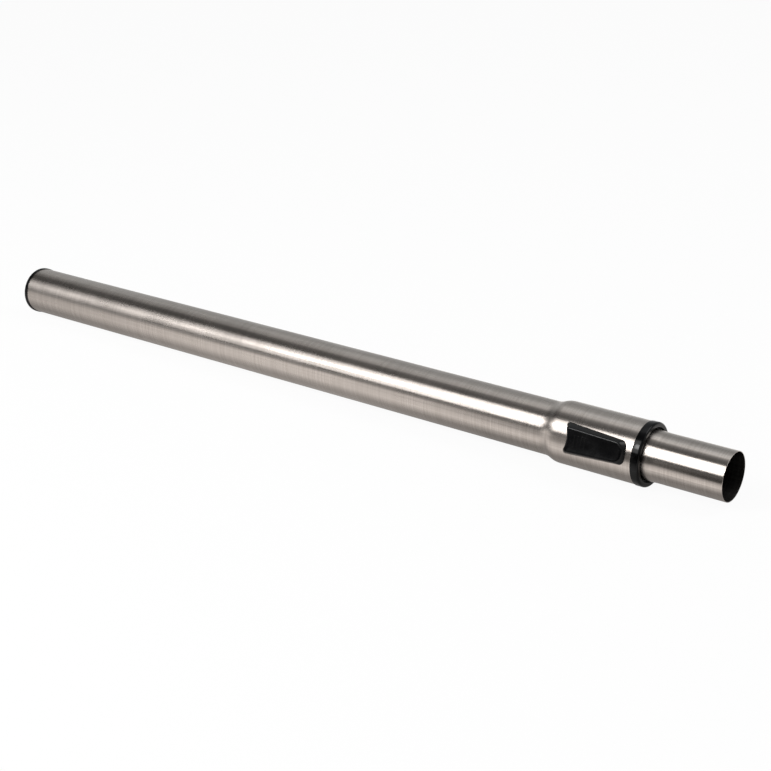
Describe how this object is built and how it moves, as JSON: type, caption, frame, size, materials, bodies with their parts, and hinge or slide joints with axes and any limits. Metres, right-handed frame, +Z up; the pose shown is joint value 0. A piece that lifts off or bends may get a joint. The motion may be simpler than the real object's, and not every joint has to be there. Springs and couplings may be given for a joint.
{
  "type": "telescopic vacuum wand",
  "caption": "Telescopic stainless vacuum wand: an outer tube flared into a sleeve with a sliding thumb button, and an inner tube that slides out and locks in steps.",
  "frame": {"origin": "on the wand's axis at the mouth of the handle socket", "axes": "+X along the wand from the handle socket to the nozzle end, +Z up with the wand lying on its side, button turned to -Y"},
  "size_m": [0.618, 0.0465, 0.0414],
  "materials": {
    "outer_steel": "satin brushed along the tube",
    "inner_steel": "bright drawn",
    "spring_steel": "bright wire and strip",
    "lock_steel": "ground",
    "black_gloss": "glossy moulded",
    "black_satin": "satin moulded",
    "white_plastic": "natural acetal",
    "seal_rubber": "matt rubber",
    "felt": "pressed felt"
  },
  "bodies": {
    "outer": {"outer_tube": "outer_steel", "end_ring": "black_satin", "collar": "black_gloss", "wiper_ring": "felt", "air_seal": "seal_rubber", "guide_sleeve": "white_plastic", "return_spring_upper": "spring_steel", "return_spring_lower": "spring_steel", "anti_rattle_spring_upper": "spring_steel", "anti_rattle_spring_lower": "spring_steel"},
    "inner": {"inner_tube": "inner_steel", "glide_shell_upper": "white_plastic", "glide_shell_lower": "white_plastic"},
    "slide": {"release_button": "black_satin", "slide_carriage": "white_plastic"},
    "lock": {"lock_bolt": "white_plastic", "lock_pin": "lock_steel"}
  },
  "joints": [
    {"name": "tube_slide", "type": "slide", "parent": "outer", "child": "inner", "axis": [1, 0, 0], "range_m": [0, 0.384]},
    {"name": "button_slide", "type": "slide", "parent": "outer", "child": "slide", "axis": [1, 0, 0], "range_m": [0, 0.0035], "stiffness_N_per_m": 600, "springref_m": -0.005, "deforming": ["return_spring_upper", "return_spring_lower"]},
    {"name": "bolt_lift", "type": "slide", "parent": "outer", "child": "lock", "axis": [0, -0.9681, 0.2504], "range_m": [0, 0.0019]}
  ],
  "couplings": [
    {"joint": "bolt_lift", "follows": "button_slide", "ratio": 0.54286}
  ]
}
